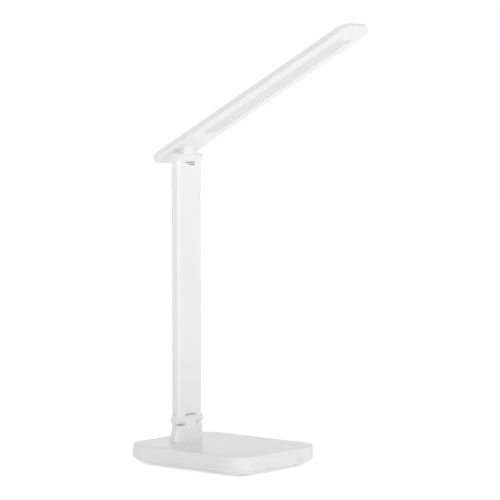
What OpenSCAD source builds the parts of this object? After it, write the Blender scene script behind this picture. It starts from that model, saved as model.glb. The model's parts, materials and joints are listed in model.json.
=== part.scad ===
// Folding LED desk lamp: a flat base, a flat arm on a pedestal hinge, and a slim head on a tilt hinge.
// Millimetres. X points forwards, to the head's tip, Y to the lamp's left and Z up.
// The origin is on the table, under the middle of the base.

/* [Base] */
// Length of the base, back to front
base_l = 150; // [125:1:180]
// Width of the base, side to side
base_w = 119; // [99:1:143]
// Radius of the base's corners, seen from above
base_corner_r = 22.5; // [19:0.5:27]
// Height of the base's top face above the table
base_top_z = 20; // [19:0.5:24]
// Height of the seam between the base's two covers
base_seam_z = 9.3; // [8.6:0.1:10]
// Thickness of the base covers' walls
base_wall = 2.2; // [1.8:0.1:2.6]
// How far the flat underside is set in from the base's outline
under_inset = 13; // [11:0.5:14]
// How far the side wall leans in between the seam and the top edge
side_draft = 0.5; // [0.2:0.1:1]
// How much lower the top face is at its edge than in its middle
crown_drop = 0.35; // [0:0.05:1]

/* [Feet] */
// Radius of a rubber foot
foot_r = 6.5; // [5:0.25:7]
// Distance of the feet from the base's front and rear ends
foot_end_inset = 20; // [19:0.5:25]
// Distance of the feet from the base's sides
foot_side_inset = 22.5; // [20:0.5:27]
// Depth of the pocket that a foot is glued into
foot_pocket = 1; // [0.6:0.1:1.4]

/* [Hinges] */
// Distance of both hinge axes in front of the base's rear end
hinge_inset = 29.5; // [29:0.5:35]
// Height of the lower hinge axis above the base's top face
lower_axis_rise = 20; // [18.5:0.5:26]
// Distance between the lower and the upper hinge axis
arm_span = 252.5; // [210:0.5:303]
// Radius of the hinge pins
pin_r = 1.5; // [1.25:0.05:1.6]
// Width of the tongue that each pair of ears holds
tongue_w = 14; // [11.5:0.5:17]
// Gap between the tongue and each ear, for a friction washer
washer_gap = 0.5; // [0.4:0.05:0.8]
// Thickness of the cap that covers each pin end
cap_t = 1.3; // [1:0.1:1.8]

/* [Pedestal] */
// Width of the pedestal at its top
neck_top_w = 37; // [34.5:0.5:44.5]
// Width of the pedestal at its foot
neck_foot_w = 42.6; // [38:0.2:51.2]
// How far the pedestal's foot reaches behind the hinge axis
neck_foot_back = 8; // [6.5:0.25:9.75]
// Gap between the pedestal's shoulders and the arm's ears
shoulder_gap = 1.8; // [1:0.1:2.5]

/* [Arm] */
// Width of the arm
arm_w = 34.2; // [28.4:0.2:41.2]
// Thickness of the arm, front to back
arm_t = 9.4; // [9:0.1:11.3]
// Thickness of the arm's walls
arm_wall = 1.8; // [1.5:0.1:2.2]
// Radius of the arm's two front edges
arm_front_r = 3.2; // [2:0.1:3.9]
// Radius of the arm's two back edges
arm_back_r = 1.2; // [0.5:0.1:1.6]
// Depth of the rear cover, out of the arm's thickness
rear_cover_d = 5.5; // [4.5:0.1:6.6]
// Gap between the pedestal's tongue and the roof of the arm's lower slot
lower_slot_gap = 0.9; // [0.7:0.1:2.3]
// Gap between the bracket's tongue and the floor of the arm's upper slot
upper_slot_gap = 1.9; // [1.8:0.1:3.3]
// Gap between the rear cover's ends and the ear blocks
cover_end_gap = 0.6; // [0.3:0.1:1]

/* [Head] */
// Angle of the head above the horizontal
head_tilt = 27.2; // [0:0.1:60]
// Reach of the head in front of the upper axis
head_front = 238.5; // [198.5:0.5:286.5]
// Reach of the head behind the upper axis
head_back = 27.5; // [22:0.5:33]
// Width of the head
head_w = 41.6; // [34.6:0.2:50]
// Thickness of the head
head_t = 6.8; // [6.1:0.1:8.1]
// How far the head's side leans in between the lip of its underside and its top edge
head_draft = 0.6; // [0:0.1:0.9]
// Distance from the upper axis to the head's underside
head_rise = 7.7; // [7.5:0.1:9.3]
// Radius of the head's corners, seen from above
head_corner_r = 10; // [6:0.5:12]
// Thickness of the top shell's walls
head_wall = 1.6; // [1.2:0.1:1.9]
// How far the underside sweeps up at the head's tip
tip_sweep = 1.7; // [0.5:0.1:1.9]
// Length of the stretch that sweeps up
tip_length = 26.5; // [20:0.5:30]

/* [Light] */
// Distance from the diffuser's far end to the head's tip
diffuser_tip_inset = 20.5; // [17:0.5:25]
// Width of the diffuser
diffuser_w = 18.8; // [15.6:0.2:22.6]
// Distance from the upper axis to the diffuser's near end
diffuser_start = 36; // [30:0.5:43.5]
// Depth of the diffuser's face below the bezel's
diffuser_recess = 0.5; // [0.2:0.1:0.7]
// Number of light-emitting diodes on each strip
led_count = 22; // [12:1:30]

/* [Touch mark] */
// Radius of the ring that marks the touch key
touch_r = 4.6; // [3:0.1:6]
// Distance of the touch key from the base's front end
touch_inset = 22; // [21:0.5:27]

/* [Hidden] */

$fn = 64;
hull_fn = 32;          // facets round a rounded slice
skin = 0.02;           // thickness of a slice that a hull spans
fit = 0.05;            // radial clearance of a pin or screw in its hole
slip = 0.15;           // clearance of a piece that drops into its seat
cut = 1;               // how far a cutting body passes the face it opens

white = "#f2f2f0";     // moulded casing
milk = "#e9ebec";      // diffusing sheet
steel = "#a8abad";
dark = "#2b2d2f";
green = "#2f6b4a";
copper = "#b87345";
grey_rubber = "#d9d9d6";
lead_white = "#e6e6e2";

// base, seen in section: the bottom cover's side is an arc that starts steep at the seam and ends nearly flat
bowl_start = 50;
bowl_end = 8;
bowl_r = under_inset / (sin(bowl_start) - sin(bowl_end));
bowl_steps = 5;
underside_z = base_seam_z - bowl_r * (cos(bowl_end) - cos(bowl_start));
floor_z = underside_z + base_wall * cos(bowl_end);
roof_z = base_top_z - base_wall;
lip_in = base_wall + slip;
lip_w = 1.4;
lip_h = 1.7;
edge_z = base_top_z - crown_drop;
edge_r = 1.3;
crown_reach = 20;

// base fasteners
screw_r = 1.5;
screw_head_r = 2.6;
screw_head_h = 1.8;
small_screw_r = 1;
small_head_r = 1.9;
small_head_h = 1.2;
foot_x = base_l / 2 - foot_end_inset;
foot_y = base_w / 2 - foot_side_inset;
foot_boss_r = foot_r + 1.1;
foot_seat_z = underside_z + foot_pocket;
head_seat_z = foot_seat_z + screw_head_h + 0.2;
boss_top_z = head_seat_z + 3;
cover_boss_r = 3.4;
base_screw_tip = roof_z - 1.5;

// counterweight
weight_end_inset = 29;
weight_side_inset = 17.5;
weight_l = base_l - 2 * weight_end_inset;
weight_w = base_w - 2 * weight_side_inset;
weight_t = 5;
weight_z = floor_z + weight_t;
weight_post = [30, 26];
weight_post_r = 2;

// control board and its inlet, at the back of the base
board_t = 1.6;
board_z = base_seam_z + lip_h + 0.2;
board_back = base_l / 2 - base_wall - 0.7;
board_l = 22;
board_w = 40;
board_post_x = base_l / 2 - 16;
board_post_y = 15.5;
post_r = 2.4;
usb_w = 8.94;
usb_h = 3.26;
usb_l = 7.4;
usb_wall = 0.3;
usb_z = board_z + board_t + usb_h / 2;
usb_mouth = base_l / 2 - 1.4;
plug_w = 13;
plug_h = 6.6;
usb_gap = 0.17;

// touch key
touch_x = base_l / 2 - touch_inset;
touch_board_l = 16;
touch_board_w = 20;
touch_board_t = 1.2;
touch_board_z = base_top_z - 8.5;
touch_post_y = 7.3;
spring_r = 3;
spring_wire_r = 0.35;
spring_turns = 4;
ring_w = 0.8;
ring_depth = 0.3;

// hinges
hinge_x = hinge_inset - base_l / 2;
lower_z = base_top_z + lower_axis_rise;
upper_z = lower_z + arm_span;
ear_r = arm_t / 2;
ear_in = tongue_w / 2 + washer_gap;
pocket_d = 4.1;
pocket_floor = arm_w / 2 - pocket_d;
pocket_r = 3.3;
pin_head_r = 2.8;
pin_head_h = 2;
nut_r = 3.1;
nut_h = 2.2;
pin_end = pocket_floor + nut_h + 0.2;
spigot = 0.9;
cap_r = ear_r - 0.1;
washer_r = 3.6;
washer_t = washer_gap - 0.1;

// pedestal
neck_top_z = lower_z - ear_r - shoulder_gap;
neck_front = 5.3;
neck_back = 5;
neck_foot_front = 5.2;
neck_top_r = 3.4;
neck_foot_r = min(6, (neck_foot_front + neck_foot_back) / 2 - 0.5);
neck_wall = 2;
neck_edge = 0.9;
neck_post_y = 12.5;
neck_post_r = 2.9;
neck_screw_tip = base_top_z + 8;

// the leads run behind the pins, in a groove down the back of each tongue
lead_r = 0.65;
lead_gap = 0.8;
groove_in = pin_r + 0.9;
groove_d = 2;
groove_w = 4;
groove_low = base_top_z + 5;
lead_back = groove_in + groove_d / 2;
lead_sides = 8;

// arm
arm_seam = rear_cover_d - arm_t / 2;
lower_slot = ear_r + lower_slot_gap;
upper_slot = ear_r + upper_slot_gap;
arm_low = lower_z + lower_slot;
arm_high = upper_z - upper_slot;
cover_lip_w = 0.8;
cover_lip_gap = 0.9;
cover_lip_h = arm_t / 2 - arm_wall - arm_seam - cover_lip_gap;
bar_w = 16;
bar_t = 1.5;
bar_end = 12;
stake_r = 1.2;

// head: along, across and up from the upper axis, turned by the tilt
bezel_lip = 1.3;
bezel_t = 1.5;
top_edge = 1.4;
shell_in = head_wall + head_draft;
sweep_steps = 6;
bracket_reach = 13.5;
bracket_low = 1.2;
bracket_steps = 8;
spigot_l = 18;
spigot_w = 9;
plate_l = 24;
plate_w = 14;
plate_t = 1.2;
bracket_screw_y = 2.8;
bracket_screw_tip = pin_r + 1.6;
flange = 1.4;
flange_t = 0.8;
diffuser_l = head_front - diffuser_start - diffuser_tip_inset;
inner_n = head_rise + bezel_t;
ceiling_n = head_rise + head_t - head_wall;
reflector_t = 0.2;
strip_t = 0.8;
led_l = 3;
led_d = 0.8;
led_h = 1.3;
strip_in = diffuser_w / 2 + flange + 0.1 + led_d;
rail_w = 1;
rail_h = ceiling_n - inner_n - 1;

// 2D outline of a rectangle with round corners, centred
module round_rect(l, w, r) {
  square([l - 2 * r, w], center = true);
  square([l, w - 2 * r], center = true);
  for (x = [-1, 1], y = [-1, 1]) translate([x * (l / 2 - r), y * (w / 2 - r)]) circle(r);
}

// smooth casing over rounded slices, each given as [inset, bottom, thickness]
module casing(l, w, r, slices) {
  hull() for (s = slices) translate([0, 0, s[1]]) linear_extrude(s[2])
    round_rect(l - 2 * s[0], w - 2 * s[0], r - s[0], $fn = hull_fn);
}

// straight block with round upright edges
module block(l, w, r, low, high) {
  translate([0, 0, low]) linear_extrude(high - low) round_rect(l, w, r);
}

// upright cylinder from one height to another
module post(r, low, high) {
  translate([0, 0, low]) cylinder(r = r, h = high - low);
}

// cylinder along Y from one side to another
module across(r, from, to) {
  translate([0, to, 0]) rotate([90, 0, 0]) cylinder(r = r, h = to - from);
}

module four(x, y) {
  for (i = [-1, 1], j = [-1, 1]) translate([i * x, j * y, 0]) children();
}

module both_sides(y) {
  for (j = [-1, 1]) translate([0, j * y, 0]) children();
}

// a screw with its point up; the head is under its seat
module screw(r, head_r, head_h, seat, tip) {
  post(head_r, seat - head_h, seat);
  post(r, seat - skin, tip);
}

module at_lower_hinge() {
  translate([hinge_x, 0, lower_z]) children();
}

module at_upper_hinge() {
  translate([hinge_x, 0, upper_z]) children();
}

module in_head() {
  at_upper_hinge() rotate([0, -head_tilt, 0]) children();
}

function unit(v) = v / norm(v);
function run_at(p, i) = unit(p[min(i + 1, len(p) - 1)] - p[max(i - 1, 0)]);

// points round c, square to the run d; the first lies square to the vector up as well
function ring(c, d, r, n, up) = let (a = unit(cross(d, up)), b = cross(d, a)) [
  for (k = [0 : n - 1]) c + r * (cos(360 * k / n) * a + sin(360 * k / n) * b)
];

// round tube along a list of points, as one closed body; no stretch runs along the vector up
module tube(p, r, n, up = [0, 1, 0]) {
  last = len(p) - 1;
  points = [for (i = [0 : last]) each ring(p[i], run_at(p, i), r, n, up)];
  walls = [
    for (i = [0 : last - 1], k = [0 : n - 1])
      [i * n + k, i * n + (k + 1) % n, (i + 1) * n + (k + 1) % n, (i + 1) * n + k]
  ];
  ends = [[for (k = [n - 1 : -1 : 0]) k], [for (k = [0 : n - 1]) last * n + k]];
  polyhedron(points, concat(walls, ends));
}

// two conductors side by side along the same route
module lead_pair(p) {
  for (j = [-1, 1]) tube([for (q = p) q + [0, j * lead_gap, 0]], lead_r, lead_sides);
}

// Base

function bowl_inset(a) = bowl_r * (sin(bowl_start) - sin(a));
function bowl_z(a) = base_seam_z - bowl_r * (cos(a) - cos(bowl_start));
function bowl_angle(i) = bowl_end + (bowl_start - bowl_end) * i / bowl_steps;
function crown_z(s) = base_top_z - crown_drop * pow(1 - (s - edge_r) / (crown_reach - edge_r), 2);

module foot_places() {
  four(foot_x, foot_y) children();
}

module base_bottom_cover() {
  angles = [for (i = [0 : bowl_steps]) bowl_angle(i)];
  outside = [for (a = angles) [bowl_inset(a), bowl_z(a) - (a == bowl_start ? skin : 0), skin]];
  inside = [for (a = angles) [bowl_inset(a) + base_wall * sin(a), bowl_z(a) + base_wall * cos(a), skin]];
  rim = lip_in + lip_w;
  color(white) difference() {
    union() {
      difference() {
        casing(base_l, base_w, base_corner_r, outside);
        intersection() {
          casing(base_l, base_w, base_corner_r, inside);
          block(base_l - 2 * rim, base_w - 2 * rim, base_corner_r - rim, underside_z, base_top_z);
        }
      }
      difference() {
        block(base_l - 2 * lip_in, base_w - 2 * lip_in, base_corner_r - lip_in,
              base_seam_z - skin, base_seam_z + lip_h);
        block(base_l - 2 * rim, base_w - 2 * rim, base_corner_r - rim, underside_z, base_top_z);
      }
      foot_places() post(foot_boss_r, foot_seat_z, boss_top_z);
      translate([-board_post_x, 0, 0]) both_sides(board_post_y) post(post_r, floor_z - skin, board_z);
    }
    foot_places() {
      post(foot_r + slip, underside_z - cut, foot_seat_z);
      post(screw_head_r + slip, foot_seat_z - skin, head_seat_z);
      post(screw_r + fit, head_seat_z - skin, boss_top_z + cut);
    }
    translate([-board_post_x, 0, 0]) both_sides(board_post_y)
      post(small_screw_r + fit, floor_z + 1, board_z + cut);
  }
}

module base_top_cover() {
  top = [for (s = [edge_r, 4, 8, 13, crown_reach]) [s, crown_z(s) - skin, skin]];
  shoulder = [for (a = [30, 60]) [side_draft + (edge_r - side_draft) * (1 - cos(a)),
                                  edge_z - edge_r * (1 - sin(a)) - skin, skin]];
  side = [[0, base_seam_z, skin], [side_draft, edge_z - edge_r, skin]];
  inner = base_wall;
  color(white) difference() {
    union() {
      difference() {
        casing(base_l, base_w, base_corner_r, concat(side, shoulder, top));
        block(base_l - 2 * inner, base_w - 2 * inner, base_corner_r - inner, base_seam_z - cut, roof_z);
      }
      foot_places() post(cover_boss_r, boss_top_z, roof_z + skin);
      four(weight_post[0], weight_post[1]) post(weight_post_r, weight_z, roof_z + skin);
      translate([touch_x, 0, 0]) both_sides(touch_post_y)
        post(post_r, touch_board_z + touch_board_t, roof_z + skin);
    }
    foot_places() post(screw_r + fit, boss_top_z - cut, base_screw_tip + 0.5);
    translate([touch_x, 0, 0]) {
      both_sides(touch_post_y) post(small_screw_r + fit, touch_board_z, roof_z - 0.5);
      difference() {
        post(touch_r, base_top_z - ring_depth, base_top_z + cut);
        post(touch_r - ring_w, base_top_z - ring_depth - cut, base_top_z + 2 * cut);
      }
    }
    translate([hinge_x, 0, 0]) {
      both_sides(neck_post_y) post(screw_r + fit, roof_z - cut, base_top_z + cut);
      translate([-lead_back, 0, 0]) post(2.4, roof_z - cut, base_top_z + cut);
    }
    translate([-base_l / 2, 0, usb_z]) rotate([0, 90, 0]) {
      translate([0, 0, -cut]) linear_extrude(base_l / 2 - usb_mouth + cut)
        round_rect(plug_h, plug_w, plug_h / 2 - skin);
      linear_extrude(base_wall + cut)
        round_rect(usb_h + 2 * usb_gap, usb_w + 2 * usb_gap, usb_h / 2 + usb_gap - skin);
    }
  }
}

module counterweight_plate() {
  color(steel) difference() {
    block(weight_l, weight_w, 6, floor_z, weight_z);
    foot_places() post(foot_boss_r + 1, floor_z - cut, weight_z + cut);
  }
}

module rubber_feet() {
  edge = 0.5;
  color(grey_rubber) foot_places() {
    cylinder(r1 = foot_r - edge, r2 = foot_r, h = edge);
    post(foot_r, edge - skin, foot_seat_z);
  }
}

module base_screws() {
  color(steel) foot_places() screw(screw_r, screw_head_r, screw_head_h, head_seat_z, base_screw_tip);
}

module control_board() {
  color(green) difference() {
    translate([board_l / 2 - board_back, 0, board_z]) linear_extrude(board_t) round_rect(board_l, board_w, 1);
    translate([-board_post_x, 0, 0]) both_sides(board_post_y)
      post(small_screw_r + fit, board_z - cut, board_z + board_t + cut);
  }
}

// a driver chip, a choke and two capacitors on the control board
module board_parts() {
  z = board_z + board_t;
  x = -board_back;
  color(dark) {
    translate([x + 13, -9.5, z]) cube([5, 4, 1.5]);
    translate([x + 3, 6.6, z]) cube([5, 5, 2.6]);
    translate([x + 4, -9, z]) cylinder(r = 1.8, h = 2.8);
    translate([x + 11, 8.5, z]) cylinder(r = 1.8, h = 2.8);
  }
}

// heads up, so these are turned over about their seat on the board
module board_screws() {
  seat = board_z + board_t;
  color(steel) translate([-board_post_x, 0, 2 * seat]) mirror([0, 0, 1]) both_sides(board_post_y)
    screw(small_screw_r, small_head_r, small_head_h, seat, 2 * seat - floor_z - 1.5);
}

module in_usb() {
  translate([-usb_mouth, 0, usb_z]) rotate([0, 90, 0]) children();
}

module usb_socket_shell() {
  r = usb_h / 2 - skin;
  color(steel) in_usb() difference() {
    linear_extrude(usb_l) round_rect(usb_h, usb_w, r);
    translate([0, 0, -cut]) linear_extrude(usb_l - usb_wall + cut)
      round_rect(usb_h - 2 * usb_wall, usb_w - 2 * usb_wall, r - usb_wall);
  }
}

module usb_socket_tongue() {
  color(dark) in_usb() translate([0, 0, usb_l / 2 - usb_wall / 2 + 0.4])
    cube([0.7, 6.7, usb_l - usb_wall - 0.8], center = true);
}

module touch_board() {
  color(green) translate([touch_x, 0, 0]) difference() {
    block(touch_board_l, touch_board_w, 1, touch_board_z, touch_board_z + touch_board_t);
    both_sides(touch_post_y) post(small_screw_r + fit, touch_board_z - cut, base_top_z);
  }
}

module touch_board_screws() {
  color(steel) translate([touch_x, 0, 0]) both_sides(touch_post_y)
    screw(small_screw_r, small_head_r, small_head_h, touch_board_z, roof_z - 1);
}

// contact spring between the touch board and the inside of the cover
module touch_spring() {
  low = touch_board_z + touch_board_t + spring_wire_r;
  high = roof_z - spring_wire_r;
  steps = 12 * spring_turns;
  route = [for (i = [0 : steps]) [
    spring_r * cos(30 * i), spring_r * sin(30 * i), low + (high - low) * i / steps
  ]];
  color(copper) translate([touch_x, 0, 0]) tube(route, spring_wire_r, 6, [0, 0, 1]);
}

module touch_lead() {
  x0 = -board_back + board_l;
  x1 = touch_x - touch_board_l / 2;
  rest = weight_z + lead_r + skin;
  color(lead_white) tube([
    [x0 + lead_r + 0.1, -6, board_z + 1], [x0 + 5, -6, rest + 0.6], [x0 + 9, -7, rest], [-20, -9, rest],
    [0, -8, rest], [20, -7, rest], [x1 - 8, -5, rest], [x1 - 4, -4, rest + 0.6],
    [x1 - lead_r - 0.1, -4, touch_board_z + 0.6]
  ], lead_r, lead_sides);
}

// the stretch of lamp lead in the base: from the board up through the pedestal to the lower hinge
module base_lead() {
  x = hinge_x - lead_back;
  z = board_z + board_t + lead_r + skin;
  color(lead_white) lead_pair([
    [x - 4, 0, z], [x - 2, 0, z + 0.1], [x - 0.6, 0, z + 0.9], [x, 0, z + 2.4], [x, 0, neck_top_z],
    [x, 0, lower_z + 0.5]
  ]);
}

// Pedestal

module neck_slice(back, front, w, r, z, inset) {
  translate([(front - back) / 2, 0, z]) linear_extrude(skin)
    round_rect(back + front - 2 * inset, w - 2 * inset, r - inset, $fn = hull_fn);
}

module neck() {
  edge = neck_top_z - neck_edge;
  color(white) at_lower_hinge() translate([0, 0, -lower_z]) difference() {
    union() {
      difference() {
        hull() {
          neck_slice(neck_foot_back, neck_foot_front, neck_foot_w, neck_foot_r, base_top_z, 0);
          neck_slice(neck_back, neck_front, neck_top_w, neck_top_r, edge, 0);
          neck_slice(neck_back, neck_front, neck_top_w, neck_top_r, edge + 0.7 * neck_edge, 0.3 * neck_edge);
          neck_slice(neck_back, neck_front, neck_top_w, neck_top_r, neck_top_z - skin, neck_edge);
        }
        hull() {
          neck_slice(neck_foot_back, neck_foot_front, neck_foot_w, neck_foot_r, base_top_z - cut, neck_wall);
          neck_slice(neck_back, neck_front, neck_top_w, neck_top_r, neck_top_z - neck_wall, neck_wall);
        }
      }
      both_sides(neck_post_y) post(neck_post_r, base_top_z, neck_top_z - neck_wall + skin);
      translate([0, 0, neck_top_z - neck_wall]) linear_extrude(lower_z - neck_top_z + neck_wall)
        square([2 * ear_r, tongue_w], center = true);
      translate([0, 0, lower_z]) across(ear_r, -tongue_w / 2, tongue_w / 2);
    }
    both_sides(neck_post_y) post(screw_r + fit, base_top_z - cut, neck_screw_tip + 0.5);
    translate([0, 0, lower_z]) across(pin_r + fit, -tongue_w, tongue_w);
    translate([-groove_in - groove_d, -groove_w / 2, groove_low])
      cube([groove_d, groove_w, lower_z + ear_r + cut - groove_low]);
    translate([-ear_r - cut, -groove_w / 2, neck_top_z + skin])
      cube([ear_r + cut - groove_in, groove_w, lower_z + ear_r - neck_top_z + cut]);
  }
}

module neck_screws() {
  color(steel) translate([hinge_x, 0, 0]) both_sides(neck_post_y)
    screw(screw_r, screw_head_r, screw_head_h, roof_z, neck_screw_tip);
}

// Arm

// outline of the arm across its length, front edges rounder than the back ones
module arm_section() {
  x = arm_t / 2;
  y = arm_w / 2;
  translate([-x + arm_back_r, -y]) square([arm_t - arm_back_r - arm_front_r, arm_w]);
  translate([-x, -y + arm_back_r]) square([arm_t / 2, arm_w - 2 * arm_back_r]);
  translate([-x / 2, -y + arm_front_r]) square([1.5 * x, arm_w - 2 * arm_front_r]);
  for (j = [-1, 1]) {
    translate([x - arm_front_r, j * (y - arm_front_r)]) circle(arm_front_r);
    translate([-x + arm_back_r, j * (y - arm_back_r)]) circle(arm_back_r);
  }
}

module arm_hollow() {
  square([arm_t - 2 * arm_wall, arm_w - 2 * arm_wall], center = true);
}

// one end of the arm: two ears on the hinge axis and the block that joins them to the front shell
module ear_block(reach, up) {
  for (j = [-1, 1]) {
    low = j > 0 ? ear_in : -arm_w / 2;
    high = j > 0 ? arm_w / 2 : -ear_in;
    across(ear_r, low, high);
    intersection() {
      translate([0, 0, up > 0 ? 0 : -reach]) linear_extrude(reach) arm_section();
      translate([-arm_t, low, -reach - cut]) cube([2 * arm_t, high - low, 2 * reach + 2 * cut]);
    }
  }
}

module pin_holes() {
  across(pin_r + fit, -arm_w, arm_w);
  across(pocket_r, pocket_floor, arm_w);
  across(pocket_r, -arm_w, -pocket_floor);
}

module arm_front_shell() {
  color(white) translate([hinge_x, 0, 0]) difference() {
    union() {
      intersection() {
        translate([0, 0, arm_low]) linear_extrude(arm_high - arm_low) difference() {
          arm_section();
          arm_hollow();
        }
        translate([arm_seam, -arm_w, lower_z]) cube([arm_t, 2 * arm_w, arm_span]);
      }
      translate([0, 0, lower_z]) ear_block(lower_slot, 1);
      translate([0, 0, upper_z]) ear_block(upper_slot, -1);
      for (z = [arm_low + bar_end + 6, arm_high - bar_end - 6])
        translate([arm_t / 2 - arm_wall - bar_t - 0.6, 0, z]) rotate([0, 90, 0])
          cylinder(r = stake_r, h = bar_t + 0.6 + skin);
    }
    translate([0, 0, lower_z]) pin_holes();
    translate([0, 0, upper_z]) pin_holes();
  }
}

module arm_rear_cover() {
  low = arm_low + cover_end_gap;
  high = arm_high - cover_end_gap;
  lip_y = arm_w / 2 - arm_wall - slip;
  color(white) translate([hinge_x, 0, 0]) {
    intersection() {
      translate([0, 0, low]) linear_extrude(high - low) difference() {
        arm_section();
        arm_hollow();
      }
      translate([-arm_t, -arm_w, lower_z]) cube([arm_t + arm_seam, 2 * arm_w, arm_span]);
    }
    for (j = [-1, 1]) translate([arm_seam - 1, j * (lip_y - cover_lip_w / 2) - cover_lip_w / 2, low])
      cube([1 + cover_lip_h, cover_lip_w, high - low]);
    for (j = [-1, 1]) translate([arm_seam - 1, j * (lip_y + slip / 2) - slip / 2 - 0.1, low])
      cube([1, slip + 0.2, high - low]);
  }
}

module arm_stiffener() {
  low = arm_low + bar_end;
  high = arm_high - bar_end;
  color(steel) translate([hinge_x + arm_t / 2 - arm_wall - bar_t, 0, 0]) difference() {
    translate([0, -bar_w / 2, low]) cube([bar_t, bar_w, high - low]);
    for (z = [low + 6, high - 6]) translate([-cut, 0, z]) rotate([0, 90, 0])
      cylinder(r = stake_r + fit, h = bar_t + 2 * cut);
  }
}

module arm_lead() {
  x = arm_t / 2 - arm_wall - bar_t - lead_r - skin;
  color(lead_white) translate([hinge_x + x, 0, 0]) both_sides(2.6)
    post(lead_r, arm_low + 1.5, arm_high - 1.5);
}

// Hinge hardware, the same at both ends of the arm

module hinge_pin() {
  color(steel) {
    across(pin_head_r, -pocket_floor - pin_head_h, -pocket_floor);
    across(pin_r, -pocket_floor - skin, pin_end);
  }
}

module hinge_nut() {
  color(steel) difference() {
    translate([0, pocket_floor + nut_h, 0]) rotate([90, 0, 0]) cylinder(r = nut_r, h = nut_h, $fn = 6);
    across(pin_r + fit, 0, arm_w);
  }
}

module pivot_caps() {
  edge = 0.4;
  color(white) for (j = [0, 1]) mirror([0, j, 0]) {
    across(cap_r, arm_w / 2, arm_w / 2 + cap_t - edge);
    translate([0, arm_w / 2 + cap_t - edge, 0]) rotate([-90, 0, 0])
      cylinder(r1 = cap_r, r2 = cap_r - edge, h = edge);
    across(pocket_r - fit, arm_w / 2 - spigot, arm_w / 2 + skin);
  }
}

module friction_washers() {
  color(dark) for (j = [0, 1]) mirror([0, j, 0]) translate([0, tongue_w / 2 + 0.05, 0]) difference() {
    across(washer_r, 0, washer_t);
    across(pin_r + fit, -cut, washer_t + cut);
  }
}

module lower_hinge_pin() { at_lower_hinge() hinge_pin(); }
module lower_hinge_nut() { at_lower_hinge() hinge_nut(); }
module lower_pivot_caps() { at_lower_hinge() pivot_caps(); }
module lower_friction_washers() { at_lower_hinge() friction_washers(); }
module upper_hinge_pin() { at_upper_hinge() hinge_pin(); }
module upper_hinge_nut() { at_upper_hinge() hinge_nut(); }
module upper_pivot_caps() { at_upper_hinge() pivot_caps(); }
module upper_friction_washers() { at_upper_hinge() friction_washers(); }

// Head

// the bracket's side flares in a hollow curve from the knuckle to the head's underside
function flare(i) = let (a = 90 * i / bracket_steps) [
  bracket_reach - (bracket_reach - ear_r) * cos(a),
  bracket_low + (head_rise - bracket_low) * sin(a)
];

module head_bracket() {
  half = [for (i = [0 : bracket_steps]) flare(i)];
  other = [for (i = [bracket_steps : -1 : 0]) [-flare(i)[0], flare(i)[1]]];
  base = [[-ear_r, 0], [ear_r, 0]];
  color(white) in_head() difference() {
    union() {
      across(ear_r, -tongue_w / 2, tongue_w / 2);
      translate([0, tongue_w / 2, 0]) rotate([90, 0, 0]) linear_extrude(tongue_w)
        polygon(concat(base, half, other));
      translate([0, 0, head_rise - skin]) linear_extrude(bezel_t + skin)
        square([spigot_l - 2 * slip, spigot_w - 2 * slip], center = true);
    }
    across(pin_r + fit, -tongue_w, tongue_w);
    both_sides(bracket_screw_y) post(small_screw_r + fit, bracket_screw_tip - 0.3, inner_n + cut);
    translate([-groove_in - groove_d, -groove_w / 2, -ear_r - cut])
      cube([groove_d, groove_w, inner_n + ear_r + 2 * cut]);
    translate([-ear_r - cut, -groove_w / 2, -ear_r - cut])
      cube([ear_r + cut - groove_in, groove_w, ear_r + cut + bracket_low]);
  }
}

module bracket_plate() {
  color(steel) in_head() difference() {
    block(plate_l, plate_w, 2, inner_n, inner_n + plate_t);
    both_sides(bracket_screw_y) post(small_screw_r + fit, inner_n - cut, inner_n + plate_t + cut);
    translate([-groove_in - groove_d - 0.6, -groove_w / 2, inner_n - cut])
      cube([groove_d + 0.6, groove_w, plate_t + 2 * cut]);
  }
}

module bracket_screws() {
  seat = inner_n + plate_t;
  color(steel) in_head() translate([0, 0, 2 * seat]) mirror([0, 0, 1]) both_sides(bracket_screw_y)
    screw(small_screw_r, small_head_r, small_head_h, seat, 2 * seat - bracket_screw_tip);
}

module head_outline(inset) {
  translate([(head_front - head_back) / 2, 0])
    round_rect(head_front + head_back - 2 * inset, head_w - 2 * inset, head_corner_r - inset);
}

function sweep(u) = let (t = max(0, (u - head_front + tip_length) / tip_length)) tip_sweep * t * t;
function under_line(rise) = [
  for (u = concat([-head_back - cut], [for (i = [0 : sweep_steps]) head_front - tip_length * (1 - i / sweep_steps)]))
    [u, head_rise + rise + sweep(u)],
  [head_front + cut, head_rise + rise + tip_sweep]
];

// everything between two lines that follow the underside, one low and one high
module layer(low, high) {
  line = under_line(low);
  top = under_line(high);
  back = [for (i = [len(top) - 1 : -1 : 0]) top[i]];
  translate([0, head_w, 0]) rotate([90, 0, 0]) linear_extrude(2 * head_w) polygon(concat(line, back));
}

module head_casing() {
  top = head_rise + head_t;
  slices = [
    [bezel_lip, head_rise, skin], [0, head_rise + bezel_lip, skin], [head_draft, top - top_edge - skin, skin],
    [head_draft + 0.3 * top_edge, top - 0.3 * top_edge - skin, skin], [head_draft + top_edge, top - skin, skin]
  ];
  translate([(head_front - head_back) / 2, 0, 0])
    casing(head_front + head_back, head_w, head_corner_r, slices);
}

module head_top_shell() {
  color(white) in_head() difference() {
    intersection() {
      head_casing();
      layer(bezel_lip, head_t + cut);
    }
    linear_extrude(ceiling_n) head_outline(shell_in);
  }
}

module diffuser_opening(grow) {
  translate([diffuser_start + diffuser_l / 2, 0]) round_rect(diffuser_l + 2 * grow, diffuser_w + 2 * grow, 1.5 + grow);
}

// the flat bed for the diffuser's flange and the two strips, cut where the bezel sweeps up
module light_bed() {
  margin = flange + slip;
  half = strip_in + strip_t;
  translate([diffuser_start - margin, -half, inner_n]) cube([diffuser_l + 2 * margin, 2 * half, head_t]);
}

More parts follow.
